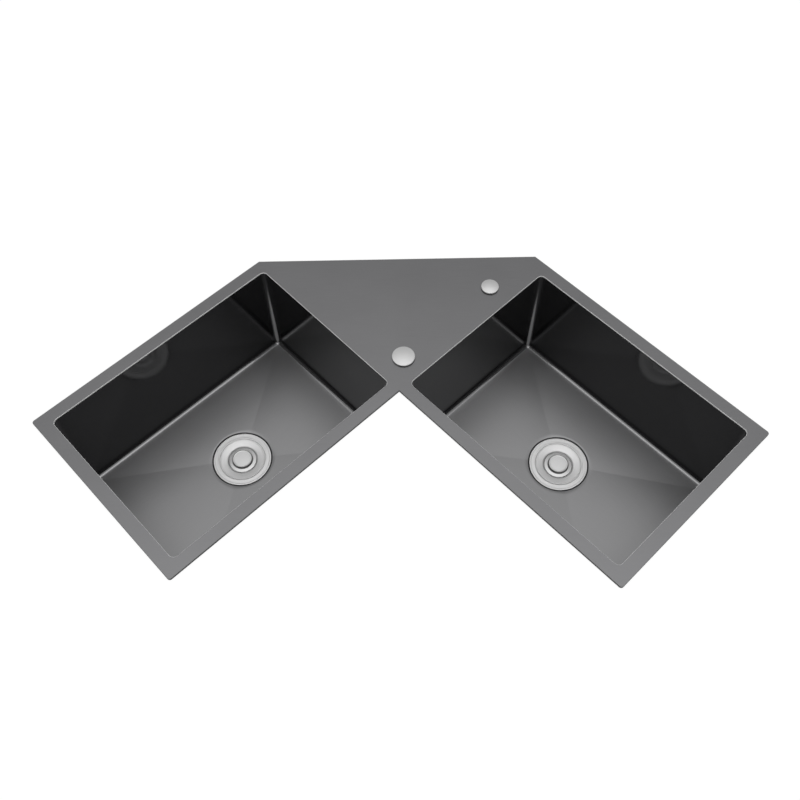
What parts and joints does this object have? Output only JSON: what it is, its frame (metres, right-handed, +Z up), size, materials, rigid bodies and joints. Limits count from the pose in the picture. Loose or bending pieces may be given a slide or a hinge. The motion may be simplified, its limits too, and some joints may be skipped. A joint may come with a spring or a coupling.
{
  "type": "corner kitchen sink",
  "caption": "Double-bowl corner kitchen sink: a flat V-shaped deck with creased-floor bowls, basket strainers with press plugs, hole covers and worktop clips.",
  "frame": {"origin": "tip of the inner corner between the two wings, on the underside of the sealing strip, which is the worktop's surface", "axes": "+X out along the right wing, -Y out along the left wing, +Z up out of the worktop"},
  "size_m": [0.9055, 0.9055, 0.3347],
  "materials": {
    "dark_steel": "dark grey coated stainless steel, satin deck and floor, glossy walls",
    "strainer_steel": "brushed bright stainless steel",
    "cover_steel": "satin stainless steel",
    "zinc_steel": "zinc-plated steel",
    "seal_rubber": "black rubber",
    "pad_rubber": "dark grey damping pad",
    "waste_plastic": "white moulded plastic"
  },
  "bodies": {
    "sink": {"deck_plate": "dark_steel", "left_bowl": "dark_steel", "right_bowl": "dark_steel", "worktop_seal": "seal_rubber", "clip_studs": "zinc_steel", "clip_claws": "zinc_steel", "clip_wing_nuts": "zinc_steel", "left_sound_pads": "pad_rubber", "left_strainer_cup": "strainer_steel", "left_clamp_screw": "strainer_steel", "left_flange_seal": "seal_rubber", "left_body_seal": "seal_rubber", "left_waste_body": "waste_plastic", "right_sound_pads": "pad_rubber", "right_strainer_cup": "strainer_steel", "right_clamp_screw": "strainer_steel", "right_flange_seal": "seal_rubber", "right_body_seal": "seal_rubber", "right_waste_body": "waste_plastic", "tap_hole_cap": "cover_steel", "tap_hole_gasket": "seal_rubber", "dispenser_hole_cap": "cover_steel", "dispenser_hole_gasket": "seal_rubber"},
    "left_basket_body": {"left_basket": "strainer_steel"},
    "left_plug": {"left_knob": "strainer_steel", "left_stem": "strainer_steel", "left_stopper": "seal_rubber"},
    "right_basket_body": {"right_basket": "strainer_steel"},
    "right_plug": {"right_knob": "strainer_steel", "right_stem": "strainer_steel", "right_stopper": "seal_rubber"},
    "tap_hole_clamp": {"tap_hole_clamp_disc": "waste_plastic"},
    "tap_hole_nut": {"tap_hole_wing_nut": "zinc_steel"},
    "dispenser_hole_clamp": {"dispenser_hole_clamp_disc": "waste_plastic"},
    "dispenser_hole_nut": {"dispenser_hole_wing_nut": "zinc_steel"}
  },
  "joints": [
    {"name": "left_basket_lift", "type": "slide", "parent": "sink", "child": "left_basket_body", "axis": [0, 0, 1], "range_m": [0, 0.3]},
    {"name": "left_plug_press", "type": "slide", "parent": "left_basket_body", "child": "left_plug", "axis": [0, 0, -1], "range_m": [0, 0.006]},
    {"name": "right_basket_lift", "type": "slide", "parent": "sink", "child": "right_basket_body", "axis": [0, 0, 1], "range_m": [0, 0.3]},
    {"name": "right_plug_press", "type": "slide", "parent": "right_basket_body", "child": "right_plug", "axis": [0, 0, -1], "range_m": [0, 0.006]},
    {"name": "tap_hole_clamp_drop", "type": "slide", "parent": "sink", "child": "tap_hole_clamp", "axis": [0, 0, -1], "range_m": [0, 0.01]},
    {"name": "tap_hole_nut_turn", "type": "hinge", "parent": "tap_hole_clamp", "child": "tap_hole_nut", "pos_m": [-0.0457, 0.0545, -0.001], "axis": [0, 0, -1], "range_deg": [0, 3600]},
    {"name": "dispenser_hole_clamp_drop", "type": "slide", "parent": "sink", "child": "dispenser_hole_clamp", "axis": [0, 0, -1], "range_m": [0, 0.01]},
    {"name": "dispenser_hole_nut_turn", "type": "hinge", "parent": "dispenser_hole_clamp", "child": "dispenser_hole_nut", "pos_m": [-0.0454, 0.2818, -0.001], "axis": [0, 0, -1], "range_deg": [0, 3600]}
  ],
  "couplings": [
    {"joint": "tap_hole_nut_turn", "follows": "tap_hole_clamp_drop", "rad_per_m": 6283.1},
    {"joint": "dispenser_hole_nut_turn", "follows": "dispenser_hole_clamp_drop", "rad_per_m": 6283.1}
  ]
}
